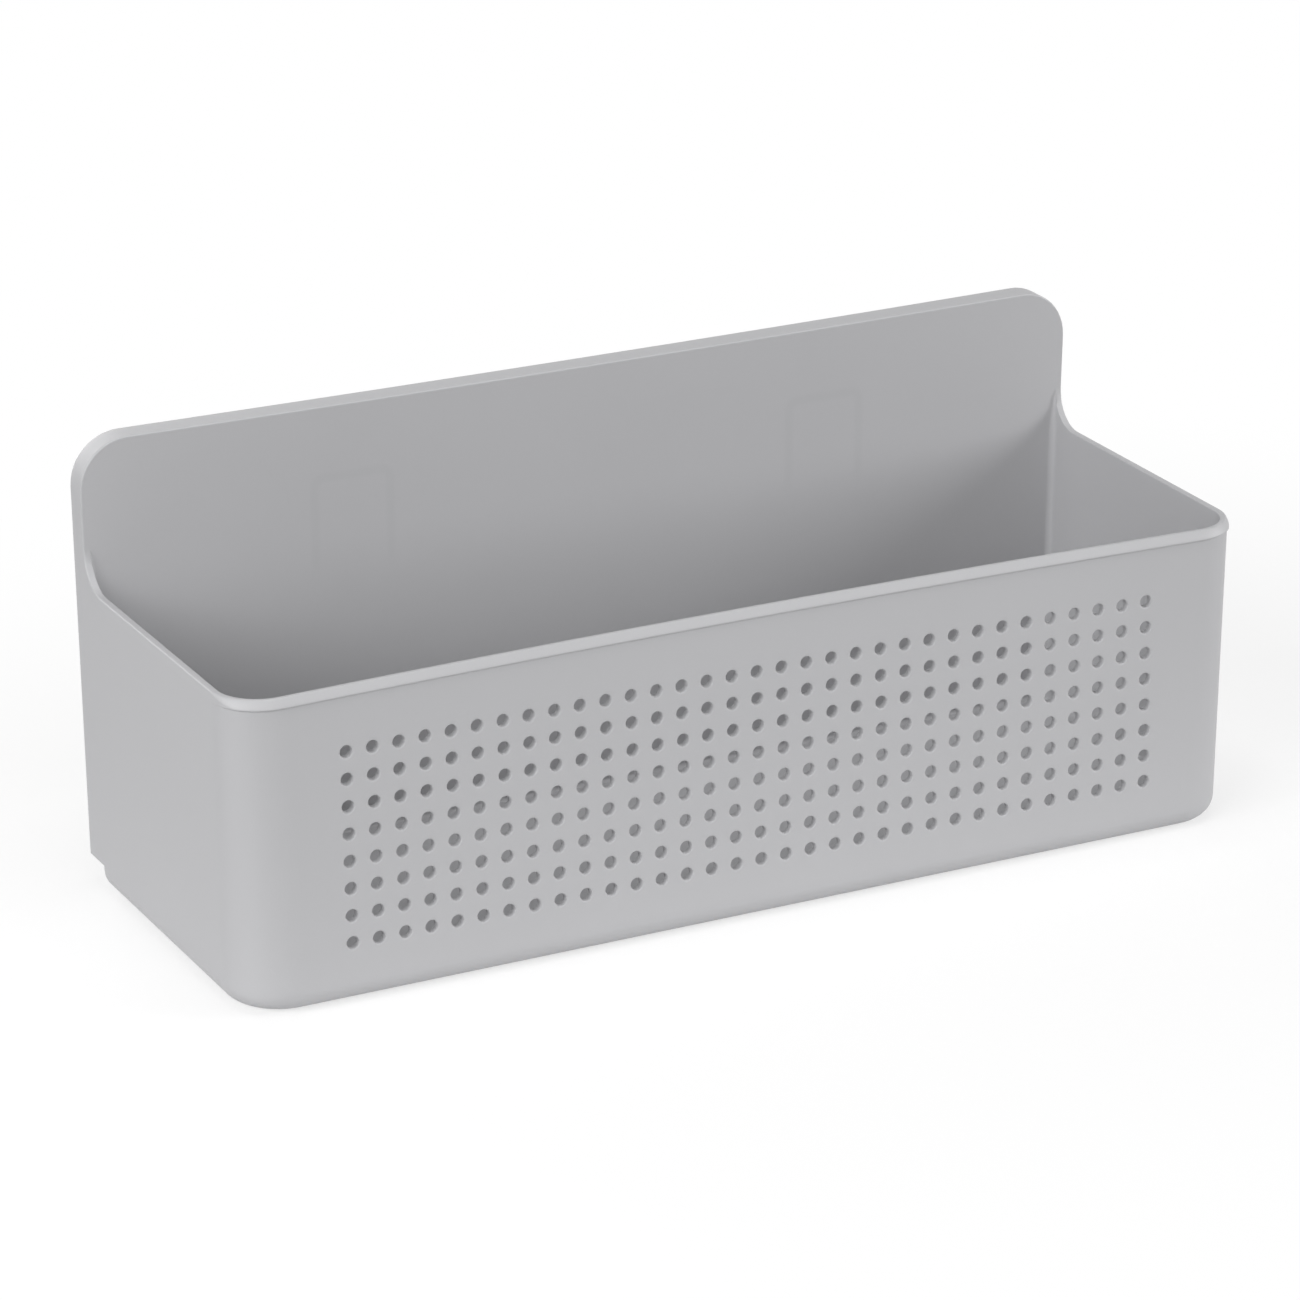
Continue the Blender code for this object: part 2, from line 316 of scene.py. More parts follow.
cornerPlace = 3  # which of the skirt's points is where the foot's rear corner starts
outerSkirtY = [lerp(sweepStart, bandStart, t) for t in binMesh["skirtShares"]]
outerSkirtY.insert(cornerPlace, plateRear - s["rearCorner"])
outerLine = skirtLine(lambda z: bandStart, outerSkirtY)

# Heights of the mesh's level lines: on the tub, beside the sweep, and on the plate above it
tubHeights = [s["flangeStart"]] + fieldRows + [plainRow, skirtTop]
riseHeights = [z for y, z in outerLine[sweepHalf + 1:]]
upperHeights = [lerp(sweepTop, cornerHeight, 1 / 3), lerp(sweepTop, cornerHeight, 2 / 3), cornerHeight]


def cornerRadius(z):
    # The inside corner sharpens to nothing where the sweep meets the plate
    if z <= skirtTop:
        return s["insideCorner"]
    return s["insideCorner"] * math.sqrt(max(0.0, (sweepTop - z) / (sweepTop - skirtTop)))


innerSkirtY = [lerp(sweepStart, s["plateFront"] - s["insideCorner"], k / sweepHalf)
               for k in range(sweepHalf + 1)]
innerLine = skirtLine(lambda z: s["plateFront"] - cornerRadius(z), innerSkirtY)


def sweepPoint(k, inset, depth, side):
    angle = math.radians(90 * k / sweepSteps)
    y = sweepStart + (s["sweep"] + depth) * math.sin(angle)
    z = sweepTop - (s["sweep"] + depth) * math.cos(angle)
    return (side * (halfWidth(z) - inset), y, z)


# Shares of the reach in and down, from the rim's outer side to its top: a crowned bevel
bevelShares = [(0.0, 1.0), (0.04, 0.9), (0.24, 0.62), (0.48, 0.34), (0.74, 0.1), (0.86, 0.03), (1.0, 0.0)]
# The lip's lower corner: share of how far it stands proud, height above its foot, and wear
lipCorner = [(0.83, 0.0, 0.3), (0.97, 0.1, 0.4), (1.0, 0.25, 0.3)]
bevelStart = len(lipCorner) + 1  # the bevel's place among a rim section's points
bevelEnd = bevelStart + len(bevelShares)


def rimSection(fade, innerRound):
    # From the skirt's top, over the lip and the edge, to the inner wall: inset, depth and wear.
    # The edge is a bevel where the lip is, and a plain quarter round where it has faded away
    proud = s["lipProud"] * fade
    reach = lerp(s["edgeRound"], s["bevelIn"] + proud, fade)
    down = lerp(s["edgeRound"], s["bevelDown"], fade)
    section = [(0.0, s["lipHeight"] + s["lipUndercut"], 0.0)]
    section += [(-share * proud, s["lipHeight"] - rise, worn) for share, rise, worn in lipCorner]
    for (across, fall), (roundFall, roundAcross) in zip(bevelShares, quarterRound(len(bevelShares) - 1)):
        worn = lerp(binWear["rimEdge"], binWear["rimFaces"], roundFall)
        across, fall = lerp(roundAcross, across, fade), lerp(roundFall, fall, fade)
        section.append((reach * across - proud, down * fall, worn))
    section[-1] = (*section[-1][:2], binWear["rimInside"])
    for beside, below in quarterRound(binMesh["rimInside"]):
        section.append((s["wall"] - innerRound * beside, innerRound * below, binWear["rimInside"]))
    return section


def rimColumn(station):
    column = []
    for inset, depth, worn in rimSection(lipFade(station), s["innerRound"]):
        column.append((planPoint(station, inset, s["frontHeight"] - depth), worn))
    column.append((planPoint(station, s["wall"], skirtTop), 0.0))
    return column


def sweepColumn(k, side):
    # The first rows lie on the side wall, spaced as they are along the rim
    section = rimSection(0.0, s["innerRound"] * (1 - k / sweepSteps))
    top = sweepPoint(k, 0, s["edgeRound"], side)
    foot = outerLine[k]
    lowest, highest = section[0][1], section[bevelStart][1]
    column = []
    for inset, depth, worn in section[:bevelStart + 1]:
        share = (lowest - depth) / (lowest - highest)
        y, z = lerp(foot[0], top[1], share), lerp(foot[1], top[2], share)
        column.append(((side * halfWidth(z), y, z), 0.0))
    column += [(sweepPoint(k, inset, depth, side), worn) for inset, depth, worn in section[bevelStart + 1:]]
    y, z = innerLine[k]
    column.append(((side * (halfWidth(z) - s["wall"]), y, z), 0.0))
    return column


def makeRim(skin):
    columns = [sweepColumn(k, -1) for k in range(sweepSteps, 0, -1)]
    columns += [rimColumn(station) for station in stations]
    columns += [sweepColumn(k, 1) for k in range(1, sweepSteps + 1)]
    for first, second in zip(columns, columns[1:]):
        rows = [[a[0], b[0]] for a, b in zip(first, second)]
        skin.grid(rows, [a[1] for a in first])


def fieldSkip(heights, offset):
    # Leaves out the faces in the perforated field's place. The stations start at the column offset
    def skip(row, column):
        i = column - offset
        if not 0 <= i < len(stations) - 1:
            return False
        level = heights[row] > fieldFoot - slack and heights[row + 1] < fieldTop + slack
        return level and all(kind == "front" and value <= fieldHalf + slack
                             for kind, value, side in stations[i:i + 2])

    return skip


def makeOuterWalls(skin):
    rows = []
    for z in tubHeights:
        right = [(halfWidth(z), y, z) for y in outerSkirtY[1:]]
        rows.append(mirrored(right) + [planPoint(st, 0, z) for st in stations] + right)
    skin.grid(rows, skip=fieldSkip(tubHeights, len(right)))


def footRing(z, inset):
    # The tub's outline below the flange, round all four corners
    half = halfWidth(z)
    corner = s["rearCorner"]
    curve = arc((half - corner, plateRear - corner), corner - inset, 0, 90, binMesh["rearCorner"])
    right = [(half - inset, y, z) for y in outerSkirtY[1:cornerPlace]] + [(x, y, z) for x, y in curve]
    rear = [(x, plateRear - inset, z) for x in reversed(spine)]
    return mirrored(right) + [planPoint(st, inset, z) for st in stations] + right + rear


def makeFoot(skin):
    r = s["footRound"]
    rows = [footRing(s["flangeStart"], 0)]
    wears = [0.0]
    for above, beside in quarterRound(binMesh["foot"]):
        rows.append(footRing(r * above, r * beside))
        wears.append(binWear["footEdge"] * (1 - above))
    skin.grid(rows, wears, closed=True)
    skin.face(rows[-1], binWear["underside"])


def flangeSection():
    # Round the flange's rear edge: inset, y and wear
    r, inner, rear, wall = s["flangeRound"], s["innerRound"], s["depth"], s["wall"]
    halfway = 0.29  # how far in a rounded edge is, halfway round, as a share of its radius
    return [
        (0.0, bandStart, 0.0),
        (0.0, lerp(bandStart, rear, 0.5), 0.0),
        (0.0, rear - r, 0.2),
        (halfway * r, rear - halfway * r, 0.9),
        (r, rear, 0.4),
        (wall - inner, rear, 0.2),
        (wall - halfway * inner, rear - halfway * inner, 0.4),
        (wall, rear - inner, 0.0),
        (wall, lerp(plateRear, rear, 0.5), 0.0),
        (wall, plateRear, 0.0),
    ]


def flangeColumns():
    # Places round the plate's outline from the right foot to the left foot
    steps = binMesh["plateCorner"]
    right = [("side", z, 1) for z in tubHeights + riseHeights + upperHeights]
    right += [("corner", 90 * i / steps, 1) for i in range(1, steps + 1)]
    top = [("top", x, 1) for x in reversed(spine[1:-1])]
    return right + top + [(kind, value, -1) for kind, value, side in reversed(right)]


def flangePoint(column, inset, y):
    kind, value, side = column
    if kind == "side":
        return (side * (halfWidth(value) - inset), y, value)
    if kind == "top":
        return (value, y, backHeight - inset)
    radius = s["plateCorner"] - inset
    angle = math.radians(value)
    return (side * (spineEnd + radius * math.cos(angle)), y, cornerHeight + radius * math.sin(angle))


def makeFlange(skin):
    section = flangeSection()
    columns = flangeColumns()
    skin.grid([[flangePoint(c, inset, y) for c in columns] for inset, y, worn in section],
              [worn for inset, y, worn in section])
    # The plate's rounded front edge, from sweep to sweep
    raised = [c for c in columns if c[0] != "side" or c[1] >= sweepTop - slack]
    edge = rimSection(0.0, 0.0)[bevelStart:bevelEnd]
    rows = [[flangePoint(c, inset, s["plateFront"] + depth) for c in raised] for inset, depth, worn in edge]
    skin.grid(rows, [worn for inset, depth, worn in edge])
    # The undersides of the flange's two ends
    z, corner = s["flangeStart"], s["rearCorner"]
    half = halfWidth(z)
    outline = [(half, y) for y in outerSkirtY[cornerPlace:]]
    outline += [(half - inset, y) for inset, y, worn in section[1:]]
    outline += arc((half - corner, plateRear - corner), corner, 90, 0, binMesh["rearCorner"])[:-1]
    for side in (1, -1):
        skin.face([(side * x, y, z) for x, y in outline])


def insideRing(z, extra=0.0):
    # The cavity's outline at a height, let in by the floor's rounding
    inset = s["wall"] + extra
    half = halfWidth(z) - inset
    front = s["plateFront"] - extra
    radius = cornerRadius(z)
    curve = arc((half - radius, front - radius), radius, 0, 90, binMesh["insideCorner"])
    right = [(half, lerp(sweepStart, front - radius, k / sweepHalf), z) for k in range(1, sweepHalf)]
    right += [(x, y, z) for x, y in curve]
    rear = [(x, front, z) for x in reversed(spine)]
    return mirrored(right) + [planPoint(st, inset, z) for st in stations] + right + rear


def makeInside(skin):
    r = s["floorRound"]
    floor = s["floorThickness"]
    heights = [floor + r] + tubHeights[1:]
    rows = [insideRing(z) for z in heights]
    skin.grid(rows, closed=True, skip=fieldSkip(heights, sweepHalf + binMesh["insideCorner"]))
    rows = [insideRing(floor + r * above, r * beside) for above, beside in quarterRound(binMesh["floor"])]
    skin.grid(rows, closed=True)
    skin.face(rows[-1])


def makePlate(skin):
    # The front face between the inside corners, above the rim
    heights = [skirtTop] + riseHeights
    front = s["plateFront"]
    for side in (1, -1):
        rows = []
        for z in heights:
            half, radius = halfWidth(z) - s["wall"], cornerRadius(z)
            curve = arc((half - radius, front - radius), radius, 0, 90, binMesh["insideCorner"])
            rows.append([(side * x, y, z) for x, y in curve] + [(side * spineEnd, front, z)])
        skin.grid(rows)
    skin.grid([[(x, front, z) for x in spine] for z in heights])
    # The raised part, inside its rounded edge, front and rear
    below = tubHeights + riseHeights
    for y, edge, lower in ((front, s["edgeRound"], [sweepTop]), (plateRear, s["wall"], below)):
        levels = lower + upperHeights
        for low, high in zip(levels, levels[1:]):
            skin.grid([[(x, y, low) for x in spine], [(x, y, high) for x in spine]])
            for side in (1, -1):
                outline = [(spineEnd, low), (spineEnd, high), (halfWidth(high) - edge, high),
                           (halfWidth(low) - edge, low)]
                if low == sweepTop and y == front:
                    outline.append((halfWidth(low) - s["wall"], low))
                if low == s["flangeStart"]:
                    outline.append((halfWidth(low) - s["rearCorner"], low))
                skin.face([(side * x, y, z) for x, z in outline])
        skin.grid([[(x, y, cornerHeight) for x in spine], [(x, y, backHeight - edge) for x in spine]])
        for side in (1, -1):
            curve = arc((spineEnd, cornerHeight), s["plateCorner"] - edge, 0, 90, binMesh["plateCorner"])
            skin.face([(side * spineEnd, y, cornerHeight)] + [(side * x, y, z) for x, z in curve])


# Hanger pockets behind the plate
pocketSizes = {
    "spacing": 156.0,
    "width": 26.0,
    "height": 32.0,
    "top": 115.0,
    "corner": 4.0,
    "rib": 2.0,
    "lipReach": 3.0,
    "lipFront": 112.1,
    "rear": 113.3,
    "mouthCorner": 1.0,
    "edgeRound": 0.3,
    "rootRound": 0.5,
    "halfway": 0.3,  # how far in a rounded edge is, halfway round, as a share of its radius
    "sunk": 0.6,  # how deep the ribs reach into the plate
    "steps": 7,
}


def makePocket(skin, centre):
    p = pocketSizes
    foot = p["top"] - p["height"]
    half = p["width"] / 2
    channel, mouth = p["rib"], p["rib"] + p["lipReach"]
    sunk, rear, lipFront = plateRear - p["sunk"], p["rear"], p["lipFront"]
    corner, mouthCorner = p["corner"], p["mouthCorner"]
    root, rootPart = p["rootRound"], p["halfway"] * p["rootRound"]
    edge, edgePart = p["edgeRound"], p["halfway"] * p["edgeRound"]
    # How far in from the outer face, y, corner radius and wear
    section = [
        (-root, sunk, corner + root, 0),
        (-root, plateRear, corner + root, 0),
        (-rootPart, plateRear + rootPart, corner + rootPart, 0),
        (0, plateRear + root, corner, 0),
        (0, rear - edge, corner, 0.2),
        (edgePart, rear - edgePart, corner - edgePart, 1),
        (edge, rear, corner - edge, 0.4),
        (mouth - edge, rear, mouthCorner + edge, 0.4),
        (mouth - edgePart, rear - edgePart, mouthCorner + edgePart, 1),
        (mouth, rear - edge, mouthCorner, 0.2),
        (mouth, lipFront, mouthCorner, 0),
        (channel, lipFront, corner - channel, 0),
        (channel, sunk, corner - channel, 0),
    ]
    rings = []
    for inset, y, radius, worn in section:
        outer, top = half - inset, p["top"] - inset
        right = [(outer, foot)] + arc((outer - radius, top - radius), radius, 0, 90, p["steps"])
        rings.append([(centre + x, y, z) for x, z in right + mirrored(right)])
    skin.grid(rings + [rings[0]], [entry[3] for entry in section] + [0])
    for end in (0, -1):
        skin.face([ring[end] for ring in rings])


def feed(tree, node, given):
    # Fills a node's inputs, by name or number, with sockets to link or with plain values
    for key, value in given.items():
        if isinstance(value, bpy.types.NodeSocket):
            tree.links.new(value, node.inputs[key])
        else:
            node.inputs[key].default_value = value
    return node


def newNode(tree, kind, given=None, **settings):
    node = tree.nodes.new(kind)
    for name, value in settings.items():
        setattr(node, name, value)
    return feed(tree, node, given or {})


def mathNode(tree, operation, *values, clamp=False):
    given = dict(enumerate(values))
    return newNode(tree, "ShaderNodeMath", given, operation=operation, use_clamp=clamp).outputs[0]


def makePerforationTree():
    # Repeats the hole tile, which is the object's own mesh, over the front's field
    tree = bpy.data.node_groups.new("perforatedField", "GeometryNodeTree")
    for label, kind in (("Geometry", "Geometry"), ("Columns", "Int"), ("Rows", "Int"), ("Pitch", "Float"),
                        ("Middle Height", "Float"), ("Finish", "Material")):
        tree.interface.new_socket(label, in_out="INPUT", socket_type="NodeSocket" + kind)
    tree.interface.new_socket("Geometry", in_out="OUTPUT", socket_type="NodeSocketGeometry")
    given = newNode(tree, "NodeGroupInput").outputs
    sizes = {}
    for axis, label in (("X", "Columns"), ("Y", "Rows")):
        steps = mathNode(tree, "SUBTRACT", given[label], 1)
        sizes["Size " + axis] = mathNode(tree, "MULTIPLY", steps, given["Pitch"])
        sizes["Vertices " + axis] = given[label]
    points = newNode(tree, "GeometryNodeMeshGrid", sizes)
    raised = newNode(tree, "ShaderNodeCombineXYZ", {"Z": given["Middle Height"]})
    turned = newNode(tree, "GeometryNodeTransform", {
        "Geometry": points.outputs["Mesh"], "Translation": raised.outputs[0],
        "Rotation": (math.pi / 2, 0, 0)})
    holes = newNode(tree, "GeometryNodeInstanceOnPoints", {
        "Points": turned.outputs[0], "Instance": given["Geometry"]})
    real = newNode(tree, "GeometryNodeRealizeInstances", {0: holes.outputs[0]})
    painted = newNode(tree, "GeometryNodeSetMaterial", {
        "Geometry": real.outputs[0], "Material": given["Finish"]})
    newNode(tree, "NodeGroupOutput", {"Geometry": painted.outputs[0]})
    return tree


def makeHoleTile():
    # One pitch square of the front wall with its hole, edges rounded at the front
    p = perforation
    bore, edge, count = p["bore"] / 2, p["edgeRound"], p["segments"]
    half, quarter = p["pitch"] / 2, p["segments"] // 4
    mouth = quarterRound(len(p["mouthWear"]) - 1)
    profile = [(bore + edge * out, edge * down, worn) for (out, down), worn in zip(mouth, p["mouthWear"])]
    profile.append((p["rearBore"] / 2, s["wall"], p["rearWear"]))

    def ring(radius, y):
        step = 2 * math.pi / count
        return [(radius * math.cos(step * i), y, radius * math.sin(step * i)) for i in range(count)]

    def cornerOf(q, y):
        angle = math.radians(45 + 90 * q)
        return (half * math.copysign(1, math.cos(angle)), y, half * math.copysign(1, math.sin(angle)))

    skin = Skin()
    skin.grid([ring(radius, y) for radius, y, worn in profile], [worn for radius, y, worn in profile],
              closed=True)
    for radius, y, worn in (profile[0], profile[-1]):
        rim = ring(radius, y)
        for q in range(4):
            first = int((q + 0.5) * quarter)
            part = [rim[(first + i) % count] for i in range(quarter + 1)]
            skin.face([cornerOf(q, y)] + part + [cornerOf(q + 1, y)])
    skin.merge()
    return skin.toMesh("holeTile")


def makePerforatedField(material):
    tile = newObject("holeTile", makeHoleTile())
    modifier = tile.modifiers.new("perforatedField", "NODES")
    tree = makePerforationTree()
    modifier.node_group = tree
    values = {
        "Columns": perforation["columns"],
        "Rows": perforation["rows"],
        "Pitch": perforation["pitch"],
        "Middle Height": (fieldFoot + fieldTop) / 2,
        "Finish": material,
    }
    for item in tree.interface.items_tree:
        if item.item_type == "SOCKET" and item.in_out == "INPUT" and item.name in values:
            modifier[item.identifier] = values[item.name]
    bpy.context.view_layer.update()
    evaluated = tile.evaluated_get(bpy.context.evaluated_depsgraph_get())
    mesh = bpy.data.meshes.new_from_object(evaluated)
    bpy.data.objects.remove(tile, do_unlink=True)
    return mesh


def mapRange(tree, value, fromMin, fromMax, toMin=0.0, toMax=1.0, smooth=False):
    given = {"Value": value, "From Min": fromMin, "From Max": fromMax, "To Min": toMin, "To Max": toMax}
    way = "SMOOTHSTEP" if smooth else "LINEAR"
    return newNode(tree, "ShaderNodeMapRange", given, interpolation_type=way).outputs["Result"]


def noise(tree, vector, scale, detail=2.0, roughness=0.5):
    given = {"Vector": vector, "Scale": scale, "Detail": detail, "Roughness": roughness}
    return newNode(tree, "ShaderNodeTexNoise", given).outputs["Fac"]


def mixColour(tree, factor, a, b):
    given = {"Factor": factor, 6: (*a, 1.0), 7: (*b, 1.0)}  # 6 and 7 are the colour sockets
    return newNode(tree, "ShaderNodeMix", given, data_type="RGBA").outputs[2]


def scaled(tree, colour, factor):
    given = {0: colour, "Scale": factor}
    return newNode(tree, "ShaderNodeVectorMath", given, operation="SCALE").outputs[0]


def bump(tree, height, strength, distance, under=None, invert=False):
    given = {"Height": height, "Strength": strength, "Distance": distance}
    if under:
        given["Normal"] = under
    return newNode(tree, "ShaderNodeBump", given, invert=invert).outputs["Normal"]


def groupOf(name, inputs, outputs):
    # A shader group with a Vector input, others with their usual values, and plain numbers put out
    tree = bpy.data.node_groups.new(name, "ShaderNodeTree")
    tree.interface.new_socket("Vector", in_out="INPUT", socket_type="NodeSocketVector")
    for label, value in inputs.items():
        socket = tree.interface.new_socket(label, in_out="INPUT", socket_type="NodeSocketFloat")
        socket.default_value = value
    for label in outputs:
        tree.interface.new_socket(label, in_out="OUTPUT", socket_type="NodeSocketFloat")
    return tree, newNode(tree, "NodeGroupInput").outputs, newNode(tree, "NodeGroupOutput")


grainLook = {
    "cellShare": 0.6,  # how much the round cells add to the fine noise
    "slowScale": 9.0,  # waves to the metre, of the slow drift of tone and gloss
    "flowScale": 46.0,  # and of the quicker one, as from the plastic's flow
    "flowShare": 0.35,
    "driftGain": 2.0,
    "speck": 0.03,
}


def makeMouldedGrain():
    # The fine eroded texture of a mould, with the slow drift of tone that moulded plastic has
    g = grainLook
    tree, given, out = groupOf("mouldedGrain", {"Grain Size": 0.0004, "Tone Drift": 0.02},
                               ("Tone", "Height", "Gloss"))
    place, driftSize = given["Vector"], given["Tone Drift"]
    fineScale = mathNode(tree, "DIVIDE", 1.0, given["Grain Size"])
    fine = noise(tree, place, fineScale, 3.0)
    cells = newNode(tree, "ShaderNodeTexVoronoi", {"Vector": place, "Scale": fineScale}, feature="SMOOTH_F1")

    def centred(value):
        return mathNode(tree, "SUBTRACT", value, 0.5)

    slow = centred(noise(tree, place, g["slowScale"], 3.0, 0.55))
    flow = centred(noise(tree, place, g["flowScale"]))
    flowSize = mathNode(tree, "MULTIPLY", driftSize, g["flowShare"])
    drift = mathNode(tree, "MULTIPLY_ADD", flow, flowSize, mathNode(tree, "MULTIPLY", slow, driftSize))
    drift = mathNode(tree, "MULTIPLY", drift, g["driftGain"])
    speck = mathNode(tree, "MULTIPLY", centred(fine), g["speck"])
    tone = mathNode(tree, "ADD", 1.0, mathNode(tree, "ADD", drift, speck))
    height = mathNode(tree, "MULTIPLY_ADD", cells.outputs["Distance"], g["cellShare"], fine)
    feed(tree, out, {"Tone": tone, "Height": height, "Gloss": slow})
    return tree


wearLook = {
    "patchScale": 60.0,
    "patchRange": (0.3, 0.7),  # the noise's values between which a patch goes from bare to full
    "least": 0.4,  # what is left of the wear between the patches
}


def makeEdgeWear():
    # Where hands and shelves rub: paler and smoother along the edges, broken up by noise
    w = wearLook
    tree, given, out = groupOf("edgeWear", {"Amount": 0.5}, ("Mask",))
    edge = newNode(tree, "ShaderNodeAttribute", attribute_name="edgeWear")
    patches = mapRange(tree, noise(tree, given["Vector"], w["patchScale"], 4.0, 0.6), *w["patchRange"])
    patches = mathNode(tree, "MULTIPLY_ADD", patches, 1 - w["least"], w["least"])
    worn = mathNode(tree, "MULTIPLY", edge.outputs["Fac"], patches)
    feed(tree, out, {"Mask": mathNode(tree, "MULTIPLY", worn, given["Amount"], clamp=True)})
    return tree


def newMaterial(name, constants):
    # A Principled material whose fixed values sit on the shader's own sockets
    material = bpy.data.materials.new(name)
    material.use_nodes = True
    tree = material.node_tree
    shader = feed(tree, tree.nodes["Principled BSDF"], constants)
    return material, tree, shader, newNode(tree, "ShaderNodeTexCoord").outputs["Object"]


mouldedGrain = makeMouldedGrain()
edgeWear = makeEdgeWear()

binFinish = {
    "colour": (0.45, 0.45, 0.462),
    "wornColour": (0.465, 0.465, 0.475),
    "roughness": 0.5,
    "grainSize": 0.00045,
    "grainDepth": 0.00002,
    "grainStrength": 0.5,
    "toneDrift": 0.02,
    "glossDrift": 0.12,
    "wear": 0.5,
    "wornGloss": -0.14,
    "sinkDepth": 0.00001,
    # how much darker the plate is along the sink marks: painted shade of their shallow dip
    "sinkShade": -0.026,
}

# The plate's two sink marks, in metres
sinkLook = {
    "corner": 0.003,  # rounding of each mark's upper corners
    "reach": 0.03,  # half the height of the whole ring, of which only the upper part shows
    "line": (0.0004, 0.0022),  # distances from the rib's middle between which the mark fades away
    "heights": (0.082, 0.092),  # between which it comes in
    "skin": (0.0004, 0.0006),  # distances from the plate's face between which it ends
}


def sinkMarks(tree, place):
    # The pockets' ribs show through the plate as two faint upturned U marks: 1 on a rib, fading down. The
    # mask sets both a shallow dip and the painted shade along it
    p, look = pocketSizes, sinkLook
    x, y, z = newNode(tree, "ShaderNodeSeparateXYZ", {0: place}).outputs
    half = (p["width"] - p["rib"]) / 2 * millimetre
    top = (p["top"] - p["rib"] / 2) * millimetre
    face = s["plateFront"] * millimetre - halfDepth

    def away(value, middle):
        return mathNode(tree, "ABSOLUTE", mathNode(tree, "SUBTRACT", value, middle))

    def squared(value):
        return mathNode(tree, "POWER", mathNode(tree, "MAXIMUM", value, 0.0), 2.0)

    across = away(mathNode(tree, "ABSOLUTE", x), p["spacing"] / 2 * millimetre)
    across = mathNode(tree, "SUBTRACT", across, half - look["corner"])
    upward = away(z, top - look["reach"])
    upward = mathNode(tree, "SUBTRACT", upward, look["reach"] - look["corner"])
    outside = mathNode(tree, "SQRT", mathNode(tree, "ADD", squared(across), squared(upward)))
    inside = mathNode(tree, "MINIMUM", mathNode(tree, "MAXIMUM", across, upward), 0.0)
    distance = away(mathNode(tree, "ADD", outside, inside), look["corner"])
    rib = mapRange(tree, distance, *look["line"], 1.0, 0.0, smooth=True)
    fade = mapRange(tree, z, *look["heights"], smooth=True)
    onFace = mapRange(tree, away(y, face), *look["skin"], 1.0, 0.0)
    return mathNode(tree, "MULTIPLY", mathNode(tree, "MULTIPLY", rib, fade), onFace)


def mouldedPlastic(name, f):
    # Satin plastic: fine grain, slow drift of tone and gloss, rubbed edges, and, where it has them, sink
    # marks: a shallow dip with painted shade along it
    material, tree, shader, place = newMaterial(name, {"Roughness": f["roughness"], "IOR": 1.49})
    given = {"Vector": place, "Grain Size": f["grainSize"], "Tone Drift": f["toneDrift"]}
    grain = newNode(tree, "ShaderNodeGroup", node_tree=mouldedGrain)
    tone, height, drift = feed(tree, grain, given).outputs
    wear = newNode(tree, "ShaderNodeGroup", node_tree=edgeWear)
    worn = feed(tree, wear, {"Vector": place, "Amount": f["wear"]}).outputs["Mask"]
    dip = None
    if "sinkDepth" in f:
        sink = sinkMarks(tree, place)
        # Darkens the colour along the sink marks: painted shade of their dip, beside the real dip from the
        # bump below
        tone = mathNode(tree, "MULTIPLY_ADD", sink, f["sinkShade"], tone)
        dip = bump(tree, sink, 1.0, f["sinkDepth"], invert=True)
    gloss = mathNode(tree, "MULTIPLY_ADD", drift, f["glossDrift"], f["roughness"])
    feed(tree, shader, {
        "Base Color": scaled(tree, mixColour(tree, worn, f["colour"], f["wornColour"]), tone),
        "Roughness": mathNode(tree, "MULTIPLY_ADD", worn, f["wornGloss"], gloss),
        "Normal": bump(tree, height, f["grainStrength"], f["grainDepth"], dip),
    })
    return material


def makeBin():
    plastic = mouldedPlastic("binPlastic", binFinish)
    skin = Skin()
    makeRim(skin)
    makeOuterWalls(skin)
    makeFoot(skin)
    makeFlange(skin)
    makeInside(skin)
    makePlate(skin)
    field = makePerforatedField(plastic)
    skin.bm.from_mesh(field)
    bpy.data.meshes.remove(field)
    skin.merge()
    for side in (-1, 1):
        makePocket(skin, side * pocketSizes["spacing"] / 2)
    shell = skin.finished("binShell", plastic, leanAndBow)
    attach(shell, "bin")
    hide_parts("bin")


# Hangers, pads and liners behind the plate, in millimetres
hangerSizes = {
    "tongueFront": 110.0, "tongueRear": 111.8, "tongueHalf": 10.7, "tongueTop": 112.7, "tongueFoot": 86.7,
    "tongueCorner": 1.7, "stemHalf": 7.7, "stemTop": 109.7, "stemFoot": 88.4,
    "stemSunk": 0.8,  # how deep the stem's ends reach into the tongue and the base
    "stemEdge": 0.05, "stemWear": 0.1,
    "baseFront": 113.6, "baseRear": 115.6, "baseHalf": 18.0, "baseTop": 118.5, "baseFoot": 58.5,
    "baseCorner": 6.0, "edgeRound": 0.45, "edgeWear": 0.8, "baseSteps": 12, "tongueSteps": 8,
}
padSizes = {
    "front": 115.9, "rear": 117.0, "half": 17.0, "top": 117.5, "foot": 59.5, "corner": 5.0,
    "bulge": 0.18,  # how far its sides swell
    "steps": 10, "layers": 8,
}
linerSizes = {
    "front": 117.3, "rear": 117.6, "tabHalf": 7.0, "tabLength": 7.0, "tabCorner": 3.0,
    "tabRoot": 1.2,  # the rounding where the tab starts
    "edgeRound": 0.06, "edgeWear": 0.6, "tabSteps": 6, "rootSteps": 5,
}


def roundedOutline(half, foot, top, corner, steps):
    # A rounded rectangle as a function of how far it is let in, anticlockwise seen from the front
    def outline(inset):
        r, side, low, high = corner - inset, half - inset, foot + inset, top - inset
        return (arc((-side + r, low + r), r, 180, 270, steps) + arc((side - r, low + r), r, 270, 360, steps)
                + arc((side - r, high - r), r, 0, 90, steps) + arc((-side + r, high - r), r, 90, 180, steps))

    return outline


